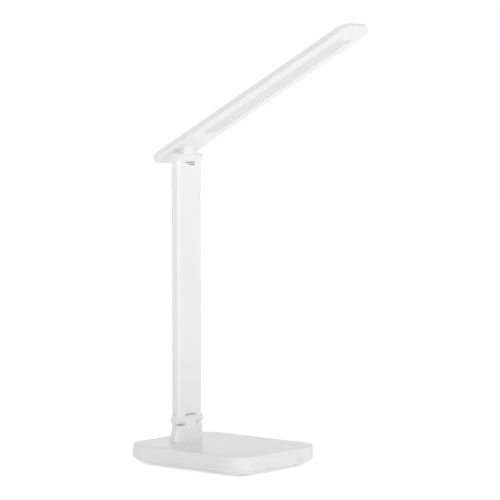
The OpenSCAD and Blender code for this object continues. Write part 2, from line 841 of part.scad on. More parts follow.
module head_bezel() {
  rail_y = strip_in + strip_t + rail_w / 2;
  color(white) in_head() difference() {
    union() {
      intersection() {
        head_casing();
        layer(0, bezel_lip);
      }
      difference() {
        intersection() {
          translate([0, 0, head_rise - cut]) linear_extrude(head_t) head_outline(shell_in + slip);
          layer(bezel_lip - skin, bezel_t);
        }
        light_bed();
      }
      both_sides(rail_y) translate([diffuser_start, -rail_w / 2, inner_n - skin])
        cube([diffuser_l, rail_w, rail_h + skin]);
    }
    translate([0, 0, head_rise - cut]) linear_extrude(head_t) diffuser_opening(slip);
    translate([0, 0, head_rise - cut]) linear_extrude(head_t) square([spigot_l, spigot_w], center = true);
  }
}

module diffuser() {
  face = head_rise + diffuser_recess;
  color(milk) in_head() {
    translate([0, 0, face]) linear_extrude(inner_n - face + skin) diffuser_opening(0);
    translate([0, 0, inner_n]) linear_extrude(flange_t) diffuser_opening(flange);
  }
}

module light_guide() {
  color(milk, 0.6) in_head() translate([0, 0, inner_n + flange_t])
    linear_extrude(ceiling_n - reflector_t - inner_n - flange_t) diffuser_opening(flange);
}

module reflector_sheet() {
  color("white") in_head() translate([0, 0, ceiling_n - reflector_t])
    linear_extrude(reflector_t) diffuser_opening(flange);
}

module led_strips() {
  color(green) in_head() for (j = [-1, 1])
    translate([diffuser_start + 1, j * (strip_in + strip_t / 2) - strip_t / 2, inner_n])
      cube([diffuser_l - 2, strip_t, ceiling_n - inner_n - 0.2]);
}

module leds() {
  pitch = (diffuser_l - 2) / led_count;
  z = (inner_n + flange_t + ceiling_n - reflector_t - led_h) / 2;
  color("#f3e7a0") in_head() for (j = [-1, 1], i = [0 : led_count - 1])
    translate([diffuser_start + 1 + pitch * (i + 0.5) - led_l / 2, j * (strip_in - led_d / 2) - led_d / 2, z])
      cube([led_l, led_d, led_h]);
}

// the stretch of lamp lead in the head: up through the bracket, then one conductor to each strip
module head_lead() {
  u = -lead_back;
  n = inner_n + plate_t + lead_r + skin;
  end = diffuser_start - 1;
  color(lead_white) in_head() for (j = [-1, 1]) mirror([0, (1 - j) / 2, 0]) tube([
    [u, lead_gap, -0.5], [u, lead_gap, head_rise], [u - 0.2, lead_gap, n - 1], [u - 1, lead_gap + 0.3, n],
    [u - 2, 3, n], [u - 1, 6, n], [u + 3, 8.2, n], [u + 9, 9.6, n], [end - 6, strip_in, n - 0.3],
    [end, strip_in + strip_t / 2, n - 0.3]
  ], lead_r, lead_sides, [1, -1, 1]);
}

base_bottom_cover();
base_top_cover();
counterweight_plate();
rubber_feet();
base_screws();
control_board();
board_parts();
board_screws();
usb_socket_shell();
usb_socket_tongue();
touch_board();
touch_board_screws();
touch_spring();
touch_lead();
base_lead();
neck();
neck_screws();
arm_front_shell();
arm_rear_cover();
arm_stiffener();
arm_lead();
lower_hinge_pin();
lower_hinge_nut();
lower_pivot_caps();
lower_friction_washers();
upper_hinge_pin();
upper_hinge_nut();
upper_pivot_caps();
upper_friction_washers();
head_bracket();
bracket_plate();
bracket_screws();
head_top_shell();
head_bezel();
diffuser();
light_guide();
reflector_sheet();
led_strips();
leds();
head_lead();
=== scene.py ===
"""A white folding LED desk lamp, seen from the front left a little above the table."""
import json
from math import acos, cos, pi, radians, sin, sqrt

import bmesh
import bpy
from mathutils import Matrix, Vector


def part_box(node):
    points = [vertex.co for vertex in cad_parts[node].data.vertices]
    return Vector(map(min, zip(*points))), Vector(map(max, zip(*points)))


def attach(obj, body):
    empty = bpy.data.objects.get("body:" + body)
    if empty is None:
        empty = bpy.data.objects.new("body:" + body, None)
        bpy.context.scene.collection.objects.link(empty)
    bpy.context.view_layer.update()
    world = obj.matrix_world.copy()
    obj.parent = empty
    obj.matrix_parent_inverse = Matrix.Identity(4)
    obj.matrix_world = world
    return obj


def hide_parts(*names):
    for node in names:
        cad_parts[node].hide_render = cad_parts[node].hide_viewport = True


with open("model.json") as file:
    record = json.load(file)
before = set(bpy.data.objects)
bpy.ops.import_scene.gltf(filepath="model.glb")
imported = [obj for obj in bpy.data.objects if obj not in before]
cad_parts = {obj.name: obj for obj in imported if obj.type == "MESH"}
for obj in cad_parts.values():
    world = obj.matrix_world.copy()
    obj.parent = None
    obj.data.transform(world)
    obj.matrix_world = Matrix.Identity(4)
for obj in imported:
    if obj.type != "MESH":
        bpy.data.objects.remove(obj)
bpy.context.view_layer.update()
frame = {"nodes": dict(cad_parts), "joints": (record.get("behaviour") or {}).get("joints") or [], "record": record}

# Lengths are in millimetres, and a finished piece is scaled to metres
MM = 0.001
JOINTS = {joint["name"]: Vector(joint["pos_m"]) / MM for joint in frame["joints"]}
LOWER = JOINTS["lower_hinge"]
UPPER = JOINTS["upper_hinge"]
HINGE_X = LOWER.x
HEAD_TILT = radians(27.2)
HEAD_PLACE = Matrix.Translation(UPPER) @ Matrix.Rotation(-HEAD_TILT, 4, "Y")
SMOOTH_LIMIT = radians(32)


# Camera: about 2 m from the lamp and 0.31 m above the table, looking 3 degrees down

CAMERA_PLACE = Vector((1.27539, -1.48531, 0.30904))
CAMERA_YAW = radians(39.889)
CAMERA_PITCH = radians(3.0416)
FOCAL_MM = 148.47


def add_camera():
    data = bpy.data.cameras.new("camera")
    data.lens = FOCAL_MM
    data.sensor_width = 36.0
    camera = bpy.data.objects.new("camera", data)
    turn = Matrix.Rotation(CAMERA_YAW, 4, "Z") @ Matrix.Rotation(pi / 2 - CAMERA_PITCH, 4, "X")
    camera.matrix_world = Matrix.Translation(CAMERA_PLACE) @ turn
    bpy.context.scene.collection.objects.link(camera)
    bpy.context.scene.camera = camera


# Node trees

def linear(code):
    """An sRGB hex value as a linear colour."""
    values = [int(code[i:i + 2], 16) / 255 for i in (1, 3, 5)]
    return [v / 12.92 if v <= 0.04045 else ((v + 0.055) / 1.055) ** 2.4 for v in values] + [1.0]


def add_node(tree, kind, inputs=None, **settings):
    """Adds a node with its settings; each input is a value or the socket it is linked from."""
    node = tree.nodes.new(kind)
    for name, value in settings.items():
        setattr(node, name, value)
    for name, value in (inputs or {}).items():
        if isinstance(value, bpy.types.NodeSocket):
            tree.links.new(value, node.inputs[name])
        else:
            node.inputs[name].default_value = value
    return node


def new_material(name):
    material = bpy.data.materials.new(name)
    material.use_nodes = True
    material.node_tree.nodes.clear()
    return material, material.node_tree


# Stage: a white studio with one broad softbox to the right of the camera, and a white floor

SOFTBOX_TURN = radians(-30)
SOFTBOX_HALF = radians(59.5)
SOFTBOX_BLUR = 0.03
SOFTBOX_TOP = (0.22, 0.42)
SOFTBOX_STRENGTH = 1.65
WALL_STRENGTH = 0.43
CEILING_STRENGTH = 0.62


def behind_rays(tree):
    """Two sockets, 1 for rays that show what lies behind: the camera's and those through glass, and the
    same with those off a shiny surface.
    """
    rays = add_node(tree, "ShaderNodeLightPath").outputs
    direct = add_node(tree, "ShaderNodeMath", {0: rays["Is Camera Ray"], 1: rays["Is Transmission Ray"]},
                      operation="MAXIMUM").outputs[0]
    seen = add_node(tree, "ShaderNodeMath", {0: direct, 1: rays["Is Glossy Ray"]},
                    operation="MAXIMUM").outputs[0]
    return direct, seen


def add_world():
    """White behind the lamp, and for its light the walls, the brighter ceiling and the softbox."""
    world = bpy.data.worlds.new("studio")
    bpy.context.scene.world = world
    world.use_nodes = True
    tree = world.node_tree
    tree.nodes.clear()
    way = add_node(tree, "ShaderNodeTexCoord").outputs["Generated"]
    part = add_node(tree, "ShaderNodeSeparateXYZ", {0: way}).outputs
    facing = add_node(tree, "ShaderNodeVectorMath", {
        0: way, 1: (cos(SOFTBOX_TURN), sin(SOFTBOX_TURN), 0)}, operation="DOT_PRODUCT").outputs["Value"]
    side = cos(SOFTBOX_HALF)
    across = add_node(tree, "ShaderNodeMapRange", {
        "Value": facing, "From Min": side - SOFTBOX_BLUR, "From Max": side + SOFTBOX_BLUR,
        "To Max": SOFTBOX_STRENGTH}, interpolation_type="SMOOTHSTEP").outputs[0]
    low = add_node(tree, "ShaderNodeMapRange", {
        "Value": part["Z"], "From Min": SOFTBOX_TOP[0], "From Max": SOFTBOX_TOP[1], "To Min": 1.0,
        "To Max": 0.0}, interpolation_type="SMOOTHSTEP").outputs[0]
    softbox = add_node(tree, "ShaderNodeMath", {0: across, 1: low}, operation="MULTIPLY").outputs[0]
    walls = add_node(tree, "ShaderNodeMapRange", {
        "Value": part["Z"], "To Min": WALL_STRENGTH, "To Max": CEILING_STRENGTH}).outputs[0]
    direct, seen = behind_rays(tree)
    room = add_node(tree, "ShaderNodeMix", {"Factor": seen, "A": walls, "B": 1.0}).outputs["Result"]
    lit = add_node(tree, "ShaderNodeMix", {"Factor": direct, "A": softbox, "B": 0.0}).outputs["Result"]
    strength = add_node(tree, "ShaderNodeMath", {0: room, 1: lit}, operation="ADD").outputs[0]
    background = add_node(tree, "ShaderNodeBackground", {"Color": (1, 1, 1, 1), "Strength": strength})
    output = add_node(tree, "ShaderNodeOutputWorld")
    tree.links.new(background.outputs[0], output.inputs["Surface"])


# The card's own light under the base, beside it and far away, and between which distances it changes (m)
GLOW_UNDER = 0.1
GLOW_BESIDE = 0.18
GLOW_FAR = 0.4
GLOW_NEAR_EDGE = (0.06, 0.1)
GLOW_FAR_EDGE = (0.12, 0.22)
GLOW_SEEN = 0.5
FLOOR_HALF_M = 8.0


def floor_material():
    """White card lit from below: seen white, with the lamp's shadow on it, and lighting what faces down."""
    material, tree = new_material("white_card")
    place = add_node(tree, "ShaderNodeTexCoord").outputs["Object"]
    reach = add_node(tree, "ShaderNodeVectorMath", {0: place}, operation="LENGTH").outputs["Value"]
    near = add_node(tree, "ShaderNodeMapRange", {
        "Value": reach, "From Min": GLOW_NEAR_EDGE[0], "From Max": GLOW_NEAR_EDGE[1],
        "To Min": GLOW_UNDER, "To Max": GLOW_BESIDE}, interpolation_type="SMOOTHSTEP").outputs[0]
    glow = add_node(tree, "ShaderNodeMapRange", {
        "Value": reach, "From Min": GLOW_FAR_EDGE[0], "From Max": GLOW_FAR_EDGE[1],
        "To Min": near, "To Max": GLOW_FAR}, interpolation_type="SMOOTHSTEP").outputs[0]
    seen = behind_rays(tree)[1]
    strength = add_node(tree, "ShaderNodeMix", {
        "Factor": seen, "A": glow, "B": GLOW_SEEN}).outputs["Result"]
    card = add_node(tree, "ShaderNodeBsdfDiffuse", {"Color": linear("#f4f4f4")})
    light = add_node(tree, "ShaderNodeEmission", {"Color": (1, 1, 1, 1), "Strength": strength})
    both = add_node(tree, "ShaderNodeAddShader")
    tree.links.new(card.outputs[0], both.inputs[0])
    tree.links.new(light.outputs[0], both.inputs[1])
    output = add_node(tree, "ShaderNodeOutputMaterial")
    tree.links.new(both.outputs[0], output.inputs["Surface"])
    return material


def add_floor():
    bm = bmesh.new()
    bmesh.ops.create_grid(bm, x_segments=1, y_segments=1, size=FLOOR_HALF_M)
    mesh = bpy.data.meshes.new("floor")
    bm.to_mesh(mesh)
    bm.free()
    mesh.materials.append(floor_material())
    floor = bpy.data.objects.new("floor", mesh)
    bpy.context.scene.collection.objects.link(floor)


# Materials, each from what the real one is

GRAIN_STRENGTH = 0.35
PATCH_MM = 45.0
PATCH_GLOSS = 0.03
STREAK_STRETCH = 0.15


def moulded(name, colour, roughness, ior, grain_mm, grain_depth):
    """An even, non-metallic finish: its tool's fine grain in the bump, and a slow change of gloss."""
    material, tree = new_material(name)
    place = add_node(tree, "ShaderNodeTexCoord").outputs["Object"]
    grain = add_node(tree, "ShaderNodeTexNoise", {
        "Vector": place, "Scale": 1 / (grain_mm * MM), "Detail": 2.0, "Roughness": 0.6}).outputs["Fac"]
    bump = add_node(tree, "ShaderNodeBump", {
        "Height": grain, "Strength": GRAIN_STRENGTH, "Distance": grain_depth * MM}).outputs["Normal"]
    patches = add_node(tree, "ShaderNodeTexNoise", {
        "Vector": place, "Scale": 1 / (PATCH_MM * MM), "Detail": 3.0}).outputs["Fac"]
    gloss = add_node(tree, "ShaderNodeMapRange", {
        "Value": patches, "From Min": 0.3, "From Max": 0.7, "To Min": roughness - PATCH_GLOSS,
        "To Max": roughness + PATCH_GLOSS}).outputs[0]
    shader = add_node(tree, "ShaderNodeBsdfPrincipled", {
        "Base Color": linear(colour), "Roughness": gloss, "IOR": ior, "Normal": bump})
    output = add_node(tree, "ShaderNodeOutputMaterial")
    tree.links.new(shader.outputs[0], output.inputs["Surface"])
    return material


def metal(name, colour, roughness, grain_mm):
    """Bare metal whose gloss changes along fine streaks, as drawing, rolling or plating leaves it."""
    material, tree = new_material(name)
    place = add_node(tree, "ShaderNodeTexCoord").outputs["Object"]
    stretch = add_node(tree, "ShaderNodeMapping", {
        "Vector": place, "Scale": (1, 1, STREAK_STRETCH)}).outputs[0]
    grain = add_node(tree, "ShaderNodeTexNoise", {
        "Vector": stretch, "Scale": 1 / (grain_mm * MM), "Detail": 3.0}).outputs["Fac"]
    gloss = add_node(tree, "ShaderNodeMapRange", {
        "Value": grain, "To Min": roughness - 0.08, "To Max": roughness + 0.12}).outputs[0]
    shader = add_node(tree, "ShaderNodeBsdfPrincipled", {
        "Base Color": linear(colour), "Roughness": gloss, "Metallic": 1.0})
    output = add_node(tree, "ShaderNodeOutputMaterial")
    tree.links.new(shader.outputs[0], output.inputs["Surface"])
    return material


MATERIALS = {
    # white ABS from a finely blasted mould: a clean satin white, with soft highlights along its round edges
    "casing": moulded("abs_white_satin_moulded", "#f1f1f1", 0.2, 1.53, 0.6, 0.006),
    # milky polystyrene, extruded with a matt face: a little greyer than the casing, and almost no highlight
    "diffuser": moulded("polystyrene_milky_extruded", "#e6e6e6", 0.5, 1.59, 0.4, 0.02),
    # pale silicone, moulded: matt and slightly grey, so that it looks soft beside the casing
    "rubber": moulded("silicone_pale_moulded", "#efefed", 0.6, 1.41, 0.5, 0.03),
    # zinc plated steel: a cool grey metal with blurred, streaky reflections
    "steel": metal("steel_zinc_plated", "#a9acb0", 0.34, 0.4),
    # glass and epoxy board under green solder mask: a deep green with a faint weave in its gloss
    "board": moulded("glass_epoxy_green_masked", "#2a5f44", 0.38, 1.55, 0.5, 0.02),
    # black epoxy, moulded round each component: near black and dull
    "component": moulded("epoxy_black_moulded", "#26282b", 0.5, 1.55, 0.3, 0.02),
    # phosphor bronze, drawn to wire: a warm, bright metal
    "spring_wire": metal("phosphor_bronze_drawn", "#c08a55", 0.3, 0.3),
    # white PVC, extruded over the lead's strands: smooth, a little yellower than the casing
    "lead": moulded("pvc_white_extruded", "#e4e4e0", 0.45, 1.53, 0.5, 0.01),
    # black acetal, turned: dark with a waxy sheen
    "washer": moulded("acetal_black_turned", "#2b2b2c", 0.4, 1.48, 0.4, 0.01),
    # acrylic, cast and polished, with white dots printed under it: it looks pale and wet
    "light_guide": moulded("acrylic_cast_polished", "#f0f2f2", 0.1, 1.49, 0.5, 0.002),
    # white polyester film: brighter and flatter than the casing
    "reflector": moulded("polyester_film_white", "#f5f5f5", 0.45, 1.64, 0.4, 0.01),
    # silicone with yellow phosphor over each diode: a soft yellow
    "led": moulded("silicone_with_phosphor", "#f0df8e", 0.35, 1.41, 0.3, 0.01),
}


def finish_cad_nodes():
    slots = {part["node"]: part["material_slot"] for part in frame["record"]["subparts"]}
    for name, node in frame["nodes"].items():
        node.data.materials.clear()
        node.data.materials.append(MATERIALS[slots[name]])


# Mesh making

SHARP_ANGLE = radians(40)
MERGE = 0.001


def plate(length, width, radius, z=0.0, x=0.0, segments=10, back_radius=None, bm=None):
    """One flat face with round corners, looking up; its back corners may have a radius of their own."""
    bm = bm or bmesh.new()
    made = bmesh.ops.create_grid(bm, x_segments=1, y_segments=1, size=0.5)["verts"]
    bmesh.ops.scale(bm, vec=(length, width, 1), verts=made)
    bmesh.ops.translate(bm, vec=(x, 0, z), verts=made)
    front = [vert for vert in made if vert.co.x > x]
    back = [vert for vert in made if vert.co.x < x]
    for corners, size in ((front, radius), (back, radius if back_radius is None else back_radius)):
        result = bmesh.ops.bevel(bm, geom=corners, offset=size, segments=segments, profile=0.5,
                                 affect="VERTICES", material=-1)
    return bm, result["verts"][0].link_faces[0]


def grow(bm, face, outline):
    """Draws a wall out of a face along an outline of [inset, height] points, from the first to the last."""
    for (inset0, height0), (inset1, height1) in zip(outline, outline[1:]):
        bmesh.ops.inset_region(bm, faces=[face], thickness=inset1 - inset0, depth=height1 - height0,
                               use_even_offset=True, use_boundary=True)
    return face


def quarter(radius_in, radius_up, start=(0.0, 0.0), steps=5, first=0):
    """A rounded edge as [inset, height] points, from an upright wall to a level face."""
    turns = [pi / 2 * k / steps for k in range(first, steps + 1)]
    return [(start[0] + radius_in * (1 - cos(a)), start[1] + radius_up * sin(a)) for a in turns]


def closed(bm):
    """Closes the open end of a drawn outline."""
    rim = [edge for edge in bm.edges if edge.is_boundary]
    bmesh.ops.holes_fill(bm, edges=rim)
    bmesh.ops.recalc_face_normals(bm, faces=bm.faces)
    return bm


def together(first, *others):
    """Several bodies as one mesh."""
    for other in others:
        mesh = bpy.data.meshes.new("body")
        other.to_mesh(mesh)
        other.free()
        first.from_mesh(mesh)
        bpy.data.meshes.remove(mesh)
    return first


def slab(length, width, radius, x, z, below, above, segments=10, back_radius=None):
    """A closed body: from its widest outline, one wall goes down and one up, as [inset, distance] points."""
    body, face = plate(length, width, radius, z, x, segments, back_radius)
    grow(body, face, above)
    bottom, face = plate(length, width, radius, z, x, segments, back_radius)
    face.normal_flip()
    grow(bottom, face, below)
    together(body, bottom)
    bmesh.ops.remove_doubles(body, verts=body.verts, dist=MERGE)
    return body


def closed_shell(outer, inner):
    """Two open bowls with as many points round their rims, joined to one shell with a wall."""
    for face in inner.faces:
        face.normal_flip()
    together(outer, inner)
    rims = [edge for edge in outer.edges if edge.is_boundary]
    bmesh.ops.bridge_loops(outer, edges=rims)
    return outer


def loft(outlines, segments=8):
    """A closed body over level outlines, each as [length, width, radius, height, middle]."""
    bm = bmesh.new()
    rings = []
    for number, (length, width, radius, z, x) in enumerate(outlines):
        face = plate(length, width, radius, z, x, segments, bm=bm)[1]
        rings.append(list(face.edges))
        if 0 < number < len(outlines) - 1:
            bmesh.ops.delete(bm, geom=[face], context="FACES_ONLY")
        elif number == 0:
            face.normal_flip()
    for low, high in zip(rings, rings[1:]):
        bmesh.ops.bridge_loops(bm, edges=low + high)
    return bm


def bar(outline, width):
    """An outline of [x, z] points, drawn out along Y to a width."""
    bm = bmesh.new()
    points = [bm.verts.new((x, -width / 2, z)) for x, z in outline]
    face = bm.faces.new(points)
    drawn = bmesh.ops.extrude_face_region(bm, geom=[face])["geom"]
    moved = [item for item in drawn if isinstance(item, bmesh.types.BMVert)]
    bmesh.ops.translate(bm, vec=(0, width, 0), verts=moved)
    bmesh.ops.recalc_face_normals(bm, faces=bm.faces)
    return bm


def lathe(outline, segments=56):
    """An outline of [radius, height] points that starts and ends on the Z axis, turned round it."""
    bm = bmesh.new()
    points = [bm.verts.new((radius, 0, height)) for radius, height in outline]
    edges = [bm.edges.new(pair) for pair in zip(points, points[1:])]
    bmesh.ops.spin(bm, geom=points + edges, axis=(0, 0, 1), cent=(0, 0, 0), angle=2 * pi, steps=segments,
                   use_merge=True)
    bmesh.ops.remove_doubles(bm, verts=bm.verts, dist=MERGE)
    bmesh.ops.recalc_face_normals(bm, faces=bm.faces)
    return bm


def box(low, high):
    """An upright box between two corners."""
    bm = bmesh.new()
    bmesh.ops.create_cube(bm, size=1.0)
    bmesh.ops.scale(bm, vec=[b - a for a, b in zip(low, high)], verts=bm.verts)
    bmesh.ops.translate(bm, vec=[(a + b) / 2 for a, b in zip(low, high)], verts=bm.verts)
    return bm


def rod(radius, low, high, axis="Z", place=(0, 0, 0), segments=56):
    """A cylinder from low to high along an axis through a place."""
    bm = bmesh.new()
    bmesh.ops.create_cone(bm, cap_ends=True, radius1=radius, radius2=radius, depth=high - low,
                          segments=segments)
    bmesh.ops.translate(bm, vec=(0, 0, (low + high) / 2), verts=bm.verts)
    return laid(bm, axis, place)


def laid(bm, axis, place=(0, 0, 0)):
    """Turns a body from the Z axis to another axis, and moves it."""
    if axis == "Y":
        bmesh.ops.rotate(bm, matrix=Matrix.Rotation(-pi / 2, 3, "X"), verts=bm.verts)
    if axis == "X":
        bmesh.ops.rotate(bm, matrix=Matrix.Rotation(pi / 2, 3, "Y"), verts=bm.verts)
    bmesh.ops.translate(bm, vec=place, verts=bm.verts)
    return bm


def soften(bm, width, chosen, segments=3):
    """Rounds the sharp edges that a test chooses by the edge's two ends."""
    edges = [edge for edge in bm.edges
             if len(edge.link_faces) == 2 and edge.calc_face_angle() > SHARP_ANGLE
             and chosen(edge.verts[0].co, edge.verts[1].co)]
    bmesh.ops.bevel(bm, geom=edges, offset=width, segments=segments, profile=0.5, affect="EDGES",
                    clamp_overlap=True, material=-1)
    return bm


def as_object(name, bm):
    """The mesh as an object at the origin."""
    bmesh.ops.remove_doubles(bm, verts=bm.verts, dist=MERGE)
    bmesh.ops.recalc_face_normals(bm, faces=bm.faces)
    mesh = bpy.data.meshes.new(name)
    bm.to_mesh(mesh)
    bm.free()
    made = bpy.data.objects.new(name, mesh)
    bpy.context.scene.collection.objects.link(made)
    return made


def combine(piece, operation, *others):
    """Joins bodies to a piece, cuts them away or keeps what they share."""
    tool = as_object("tool", together(*others))
    change = piece.modifiers.new("change", "BOOLEAN")
    change.operation = operation
    change.solver = "EXACT"
    change.object = tool
    bpy.context.view_layer.update()
    changed = piece.evaluated_get(bpy.context.evaluated_depsgraph_get())
    result = bpy.data.meshes.new_from_object(changed)
    piece.modifiers.clear()
    old = piece.data
    piece.data = result
    result.name = piece.name
    bpy.data.meshes.remove(old)
    bpy.data.objects.remove(tool)
    return piece


def resoften(piece, width, chosen, segments=2):
    """Rounds chosen edges of a piece that has been cut."""
    bm = bmesh.new()
    bm.from_mesh(piece.data)
    bmesh.ops.remove_doubles(bm, verts=bm.verts, dist=MERGE)
    bmesh.ops.dissolve_limit(bm, angle_limit=radians(0.5), verts=bm.verts, edges=bm.edges)
    soften(bm, width, chosen, segments)
    bm.to_mesh(piece.data)
    bm.free()


def finish(piece, body, slot, *nodes, place=None):
    """Sharp edges, material and place in the frame for a finished piece."""
    mesh = piece.data
    mesh.materials.clear()
    mesh.materials.append(MATERIALS[slot])
    bm = bmesh.new()
    bm.from_mesh(mesh)
    for face in bm.faces:
        face.smooth = True
        face.material_index = 0
    for edge in bm.edges:
        edge.smooth = len(edge.link_faces) == 2 and edge.calc_face_angle() < SMOOTH_LIMIT
    bm.to_mesh(mesh)
    bm.free()
    if place:
        mesh.transform(place)
    mesh.transform(Matrix.Scale(MM, 4))
    shading = piece.modifiers.new("even_shading", "WEIGHTED_NORMAL")
    shading.weight = 100
    shading.keep_sharp = True
    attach(piece, body)
    if nodes:
        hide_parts(*nodes)
    return piece


# Base

def node_box(name):
    low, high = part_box(name)
    return low / MM, high / MM


TOP_LOW, TOP_HIGH = node_box("base_top_cover")
BOTTOM_LOW = node_box("base_bottom_cover")[0]
FOOT_HIGH = node_box("rubber_feet")[1]
USB_LOW, USB_HIGH = node_box("usb_socket_shell")
BASE_SIZE = (TOP_HIGH - TOP_LOW).xy
BASE_CORNER = 22.5
BASE_CORNER_STEPS = 16
BASE_WALL = 2.2
SEAM_Z = TOP_LOW.z
TOP_Z = TOP_HIGH.z
ROOF_Z = TOP_Z - BASE_WALL
SIDE_DRAFT = 0.5
EDGE_R = 1.3
CROWN_DROP = 0.35
CROWN_REACH = 20.0
CROWN_STEPS = 8
INNER_DRAFT = 0.4
INNER_EDGE = 0.8
BOWL_INSET = 13.0
BOWL_START = radians(50)
BOWL_END = radians(8)
SEAM_CHAMFER = 0.2
TOUCH_X = 53.0
TOUCH_R = 4.6
TOUCH_LINE = 0.8
TOUCH_DEPTH = 0.3
TOUCH_LEAN = 0.12
TOUCH_SEGMENTS = 72
FOOT_R = 6.5
FOOT_POCKET = 1.0
FOOT_GAP = 0.15
FOOT_EDGE = 0.7
FOOT_HOLLOW = 0.15
FOOT_RIM = 2.2
SCREW_BORE = 1.55
BASE_SCREW_DEPTH = 5.0
LEAD_HOLE_R = 2.4
PLUG_WIDTH = 13.0
PLUG_HEIGHT = 6.6
PLUG_START = 2.0
USB_GAP = 0.17
USB_CUT = 6.0
NEARLY_HALF = 0.05
BOWL_STEPS = 14


def at_seam(a, b):
    return abs(a.z - SEAM_Z) < 0.01 and abs(b.z - SEAM_Z) < 0.01


def cover_outline():
    """Side, rounded edge and crown of the top cover as [inset, height above the seam] points."""
    edge_top = TOP_Z - CROWN_DROP - SEAM_Z
    edge = quarter(EDGE_R - SIDE_DRAFT, EDGE_R, (SIDE_DRAFT, edge_top - EDGE_R), steps=6)
    crown = []
    for k in range(1, CROWN_STEPS + 1):
        part = k / CROWN_STEPS
        crown.append((EDGE_R + (CROWN_REACH - EDGE_R) * part, edge_top + CROWN_DROP * (1 - (1 - part) ** 2)))
    return [(0.0, 0.0)] + edge + crown


def body_of(piece):
    """Takes a piece's mesh back as a body, for use in another one."""
    bm = bmesh.new()
    bm.from_mesh(piece.data)
    bpy.data.objects.remove(piece)
    return bm


def touch_ring():
    """The groove of the touch mark, with walls that lean a little."""
    top = TOP_Z + 1
    low = TOP_Z - TOUCH_DEPTH
    outer = [(0, low), (TOUCH_R - TOUCH_LEAN, low), (TOUCH_R, TOP_Z), (TOUCH_R, top), (0, top)]
    made = as_object("ring", lathe(outer, TOUCH_SEGMENTS))
    inside = TOUCH_R - TOUCH_LINE
    inner = [(0, low - 1), (inside + TOUCH_LEAN, low - 1), (inside + TOUCH_LEAN, low), (inside, TOP_Z),
             (inside, top + 1), (0, top + 1)]
    core = lathe(inner, TOUCH_SEGMENTS)
    return laid(body_of(combine(made, "DIFFERENCE", core)), "Z", (TOUCH_X, 0, 0))


def plug_recess():
    """The shallow recess round the inlet, which takes the moulding of a plug."""
    usb = (USB_LOW + USB_HIGH) / 2
    depth = USB_LOW.x - TOP_LOW.x
    recess, face = plate(PLUG_HEIGHT, PLUG_WIDTH, PLUG_HEIGHT / 2 - NEARLY_HALF, -PLUG_START)
    grow(recess, face, [(0, 0), (0, depth + PLUG_START)])
    return laid(closed(recess), "X", (TOP_LOW.x, 0, usb.z))


def inlet_hole():
    """The hole for the inlet's shell."""
    usb = (USB_LOW + USB_HIGH) / 2
    size = USB_HIGH - USB_LOW
    height = size.z + 2 * USB_GAP
    hole, face = plate(height, size.y + 2 * USB_GAP, height / 2 - NEARLY_HALF, -1.0)
    grow(hole, face, [(0, 0), (0, USB_CUT)])
    return laid(closed(hole), "X", (TOP_LOW.x, 0, usb.z))


def make_base_top():
    outer, face = plate(BASE_SIZE.x, BASE_SIZE.y, BASE_CORNER, SEAM_Z, segments=BASE_CORNER_STEPS)
    grow(outer, face, cover_outline())
    inner, roof = plate(BASE_SIZE.x - 2 * BASE_WALL, BASE_SIZE.y - 2 * BASE_WALL, BASE_CORNER - BASE_WALL,
                        SEAM_Z, segments=BASE_CORNER_STEPS)
    height = ROOF_Z - SEAM_Z
    grow(inner, roof, [(0, 0), (INNER_DRAFT, height - INNER_EDGE), (INNER_DRAFT + INNER_EDGE, height)])
    cover = as_object("base_cover_top", soften(closed_shell(outer, inner), SEAM_CHAMFER, at_seam, 1))
    combine(cover, "DIFFERENCE", plug_recess())
    combine(cover, "DIFFERENCE", inlet_hole())
    combine(cover, "DIFFERENCE", touch_ring())
    through = ROOF_Z - 1, TOP_Z + 1
    combine(cover, "DIFFERENCE", rod(LEAD_HOLE_R, *through, place=(HINGE_X + LEAD_X, 0, 0)),
            *[rod(SCREW_BORE, *through, place=(HINGE_X, j * NECK_SCREW_Y, 0)) for j in (-1, 1)])
    finish(cover, "base", "casing", "base_top_cover")


def bowl_outline(radius, start, end):
    """An arc from the seam down to the bowl's flat bottom as [inset, depth] points."""
    turns = [start + (end - start) * k / BOWL_STEPS for k in range(BOWL_STEPS + 1)]
    return [(radius * (sin(start) - sin(a)), radius * (cos(a) - cos(start))) for a in turns]


def make_base_bottom():
    """The bowl's inside is an arc about the same centre, a wall's thickness smaller."""
    radius = BOWL_INSET / (sin(BOWL_START) - sin(BOWL_END))
    small = radius - BASE_WALL
    inner_cos = radius * cos(BOWL_START) / small
    inner_sin = sqrt(1 - inner_cos ** 2)
    inset = radius * sin(BOWL_START) - small * inner_sin
    outer, face = plate(BASE_SIZE.x, BASE_SIZE.y, BASE_CORNER, SEAM_Z, segments=BASE_CORNER_STEPS)
    face.normal_flip()
    grow(outer, face, bowl_outline(radius, BOWL_START, BOWL_END))
    inner, floor = plate(BASE_SIZE.x - 2 * inset, BASE_SIZE.y - 2 * inset, BASE_CORNER - inset, SEAM_Z,
                         segments=BASE_CORNER_STEPS)
    floor.normal_flip()
    grow(inner, floor, bowl_outline(small, acos(inner_cos), BOWL_END))
    cover = as_object("base_cover_bottom", soften(closed_shell(outer, inner), SEAM_CHAMFER, at_seam, 1))
    low = BOTTOM_LOW.z - 1
    for radius, depth in ((FOOT_R + FOOT_GAP, FOOT_POCKET), (SCREW_BORE, BASE_SCREW_DEPTH)):
        combine(cover, "DIFFERENCE", *[rod(radius, low, BOTTOM_LOW.z + depth, place=(x, y, 0))
                                       for x, y in foot_places()])
    finish(cover, "base", "casing", "base_bottom_cover")


def foot_places():
    """The middle of each foot."""
    x = FOOT_HIGH.x - FOOT_R
    y = FOOT_HIGH.y - FOOT_R
    return [(x, y), (x, -y), (-x, y), (-x, -y)]


